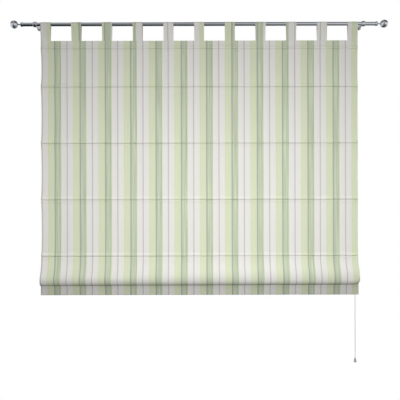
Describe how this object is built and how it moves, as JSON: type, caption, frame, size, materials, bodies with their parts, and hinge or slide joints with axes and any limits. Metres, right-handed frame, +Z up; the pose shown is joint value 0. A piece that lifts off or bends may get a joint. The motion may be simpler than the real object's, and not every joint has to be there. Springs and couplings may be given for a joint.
{
  "type": "roman blind",
  "caption": "Striped tab-top roman blind on a chrome pole with ball finials, one fold drawn up, with battens and a side pull cord that raises it.",
  "frame": {"origin": "on the wall, midway between the two brackets' stud holes, at the height of the pole's axis", "axes": "+X along the pole, to the right of someone who faces the blind; +Y into the wall; +Z up"},
  "size_m": [1.9094, 0.1131, 1.733],
  "materials": {
    "chrome": "polished plate",
    "steel": "zinc plated",
    "striped_cloth": "woven cotton, cream, light green, sage and grey stripes",
    "bar_aluminium": "mill",
    "batten_rod": "glass fibre rod",
    "clear_plastic": "pale moulded",
    "white_plastic": "moulded",
    "cord": "braided"
  },
  "bodies": {
    "hung_set": {"pole": "chrome", "finial_left": "chrome", "finial_right": "chrome", "bracket_left": "chrome", "bracket_right": "chrome", "rosette_left": "chrome", "rosette_right": "chrome", "finial_grub_screws": "steel", "bracket_grub_screws": "steel", "guide_screws": "steel", "lock_pin": "steel", "tab_1": "striped_cloth", "tab_2": "striped_cloth", "tab_3": "striped_cloth", "tab_4": "striped_cloth", "tab_5": "striped_cloth", "tab_6": "striped_cloth", "tab_7": "striped_cloth", "tab_8": "striped_cloth", "tab_9": "striped_cloth", "tab_10": "striped_cloth", "tab_11": "striped_cloth", "heading_band": "striped_cloth", "top_bar": "bar_aluminium", "blind_panel": "striped_cloth", "cord_guide_1": "white_plastic", "cord_guide_2": "white_plastic", "cord_guide_3": "white_plastic", "cord_guide_4": "white_plastic", "cord_lock": "white_plastic", "lift_cord_1": "cord", "lift_cord_2": "cord", "lift_cord_3": "cord", "lift_cord_4": "cord", "cord_drop": "cord"},
    "first_batten": {"batten_1": "batten_rod", "rings_1": "clear_plastic"},
    "second_batten": {"batten_2": "batten_rod", "rings_2": "clear_plastic"},
    "third_batten": {"batten_3": "batten_rod", "rings_3": "clear_plastic"},
    "drawn_up_end": {"bottom_fold": "striped_cloth", "bottom_bar": "bar_aluminium", "batten_4": "batten_rod", "batten_5": "batten_rod", "rings_4": "clear_plastic", "rings_5": "clear_plastic", "cord_knots": "cord"},
    "pull": {"cord_connector": "clear_plastic", "pull_cord": "cord", "pull_acorn": "clear_plastic", "pull_knot": "cord"},
    "cam": {"lock_cam": "steel"}
  },
  "joints": [
    {"name": "lift", "type": "slide", "parent": "hung_set", "child": "drawn_up_end", "axis": [0, 0, 1], "range_m": [0, 0.9], "deforming": ["blind_panel", "lift_cord_1", "lift_cord_2", "lift_cord_3", "lift_cord_4"]},
    {"name": "first_batten_rise", "type": "slide", "parent": "hung_set", "child": "first_batten", "axis": [0, 0, 1], "range_m": [0, 0.1658]},
    {"name": "second_batten_rise", "type": "slide", "parent": "hung_set", "child": "second_batten", "axis": [0, 0, 1], "range_m": [0, 0.4105]},
    {"name": "third_batten_rise", "type": "slide", "parent": "hung_set", "child": "third_batten", "axis": [0, 0, 1], "range_m": [0, 0.6553]},
    {"name": "pull_down", "type": "slide", "parent": "hung_set", "child": "pull", "axis": [0, 0, -1], "range_m": [0, 0.9], "deforming": ["cord_drop"]},
    {"name": "cam_release", "type": "hinge", "parent": "hung_set", "child": "cam", "pos_m": [0.7772, -0.0623, -0.123], "axis": [0, 1, 0], "range_deg": [0, 35], "stiffness_Nm_per_rad": 0.002, "springref_deg": -17.19}
  ],
  "couplings": [
    {"joint": "first_batten_rise", "follows": "lift", "ratio": 0.18416},
    {"joint": "second_batten_rise", "follows": "lift", "ratio": 0.45611},
    {"joint": "third_batten_rise", "follows": "lift", "ratio": 0.72805},
    {"joint": "pull_down", "follows": "lift", "ratio": 1}
  ]
}
